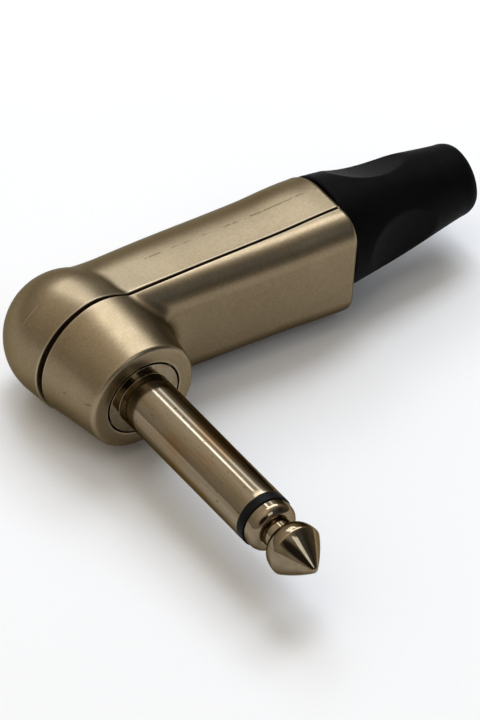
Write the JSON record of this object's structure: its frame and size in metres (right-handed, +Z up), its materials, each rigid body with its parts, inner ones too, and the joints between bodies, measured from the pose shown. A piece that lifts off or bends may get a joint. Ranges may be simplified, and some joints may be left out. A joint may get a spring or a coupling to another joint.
{
  "type": "right-angle jack plug",
  "caption": "Right-angle audio jack plug: polished finger in a domed two-part cast housing, with a cable clamp and a screwed rubber boot.",
  "frame": {"origin": "on the finger's axis, in the plane of the head's face that meets the socket", "axes": "-Y along the finger towards its tip, +X along the arm towards the cable entry, +Z up with the plug lying on its side"},
  "size_m": [0.0587, 0.0515, 0.0158],
  "materials": {
    "satin_nickel": "satin",
    "polished_nickel": "polished",
    "black_insulator": "matte",
    "natural_insulator": "matte",
    "tinned_tag": "satin",
    "boot_rubber": "matte"
  },
  "bodies": {
    "housing": {"body_shell": "satin_nickel", "cover": "satin_nickel", "finger_sleeve": "polished_nickel", "tip_pin": "polished_nickel", "insulator_ring": "black_insulator", "insulator_tube": "natural_insulator", "rear_insulator": "black_insulator", "earth_tag": "tinned_tag", "tip_tag": "tinned_tag", "insulating_sleeve": "black_insulator"},
    "clamp": {"cable_clamp": "black_insulator"},
    "gland": {"gland_nut": "black_insulator", "boot": "boot_rubber"}
  },
  "joints": [
    {"name": "clamp_slide", "type": "slide", "parent": "housing", "child": "clamp", "axis": [1, 0, 0], "range_m": [0, 0.004]},
    {"name": "boot_turn", "type": "hinge", "parent": "clamp", "child": "gland", "pos_m": [0.0317, 0.0122, 0], "axis": [1, 0, 0], "range_deg": [0, 1440]}
  ],
  "couplings": [
    {"joint": "boot_turn", "follows": "clamp_slide", "rad_per_m": 6283.2}
  ]
}
